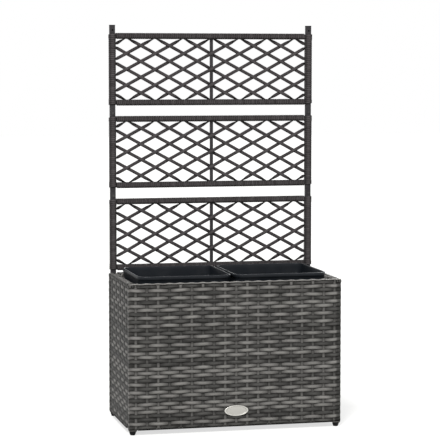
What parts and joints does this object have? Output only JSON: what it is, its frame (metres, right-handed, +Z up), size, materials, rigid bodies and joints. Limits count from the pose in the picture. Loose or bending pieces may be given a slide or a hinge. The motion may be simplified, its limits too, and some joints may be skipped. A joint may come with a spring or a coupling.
{
  "type": "raised garden bed with trellis",
  "caption": "Woven rattan-look planter box on a tube frame with lift-out pots and a stacked lattice trellis along the rear edge.",
  "frame": {"origin": "on the floor under the middle of the box", "axes": "+X to the right, +Y to the rear where the trellis stands, +Z up"},
  "size_m": [0.57, 0.3032, 1.0615],
  "materials": {
    "frame_steel": "black powder coat",
    "trellis_steel": "charcoal powder coat",
    "box_weave": "flat extruded polyethylene strand in light and dark grey, woven over and under",
    "trellis_weave": "charcoal polyethylene strand, wound and interlaced",
    "pot_plastic": "moulded black polypropylene",
    "foot_plastic": "moulded black polyethylene",
    "fasteners": "zinc plate",
    "dark_screws": "blackened steel",
    "badge_metal": "satin, bare"
  },
  "bodies": {
    "planter": {"front_frame": "frame_steel", "rear_frame": "frame_steel", "left_frame": "frame_steel", "right_frame": "frame_steel", "front_weave": "box_weave", "rear_weave": "box_weave", "left_weave": "box_weave", "right_weave": "box_weave", "front_edge_wrap": "box_weave", "rear_edge_wrap": "box_weave", "left_edge_wrap": "box_weave", "right_edge_wrap": "box_weave", "support_bar_front": "frame_steel", "support_bar_rear": "frame_steel", "support_bolts": "fasteners", "support_nuts": "fasteners", "corner_bolts": "fasteners", "corner_nuts": "fasteners", "foot_front_left": "foot_plastic", "foot_front_right": "foot_plastic", "foot_rear_left": "foot_plastic", "foot_rear_right": "foot_plastic", "lower_frame": "trellis_steel", "lower_lattice": "trellis_weave", "lower_post_wraps": "trellis_weave", "lower_rail_wraps": "trellis_weave", "middle_frame": "trellis_steel", "middle_lattice": "trellis_weave", "middle_post_wraps": "trellis_weave", "middle_rail_wraps": "trellis_weave", "upper_frame": "trellis_steel", "upper_lattice": "trellis_weave", "upper_post_wraps": "trellis_weave", "upper_rail_wraps": "trellis_weave", "base_connector_left": "trellis_steel", "base_connector_right": "trellis_steel", "middle_connector_left": "trellis_steel", "middle_connector_right": "trellis_steel", "upper_connector_left": "trellis_steel", "upper_connector_right": "trellis_steel", "trellis_screws": "dark_screws", "post_cap_left": "foot_plastic", "post_cap_right": "foot_plastic", "badge": "badge_metal", "badge_pins": "badge_metal"},
    "left_pot": {"pot_left": "pot_plastic"},
    "right_pot": {"pot_right": "pot_plastic"}
  },
  "joints": [
    {"name": "left_pot_lift", "type": "slide", "parent": "planter", "child": "left_pot", "axis": [0, 0, 1], "range_m": [0, 0.19]},
    {"name": "right_pot_lift", "type": "slide", "parent": "planter", "child": "right_pot", "axis": [0, 0, 1], "range_m": [0, 0.19]}
  ]
}
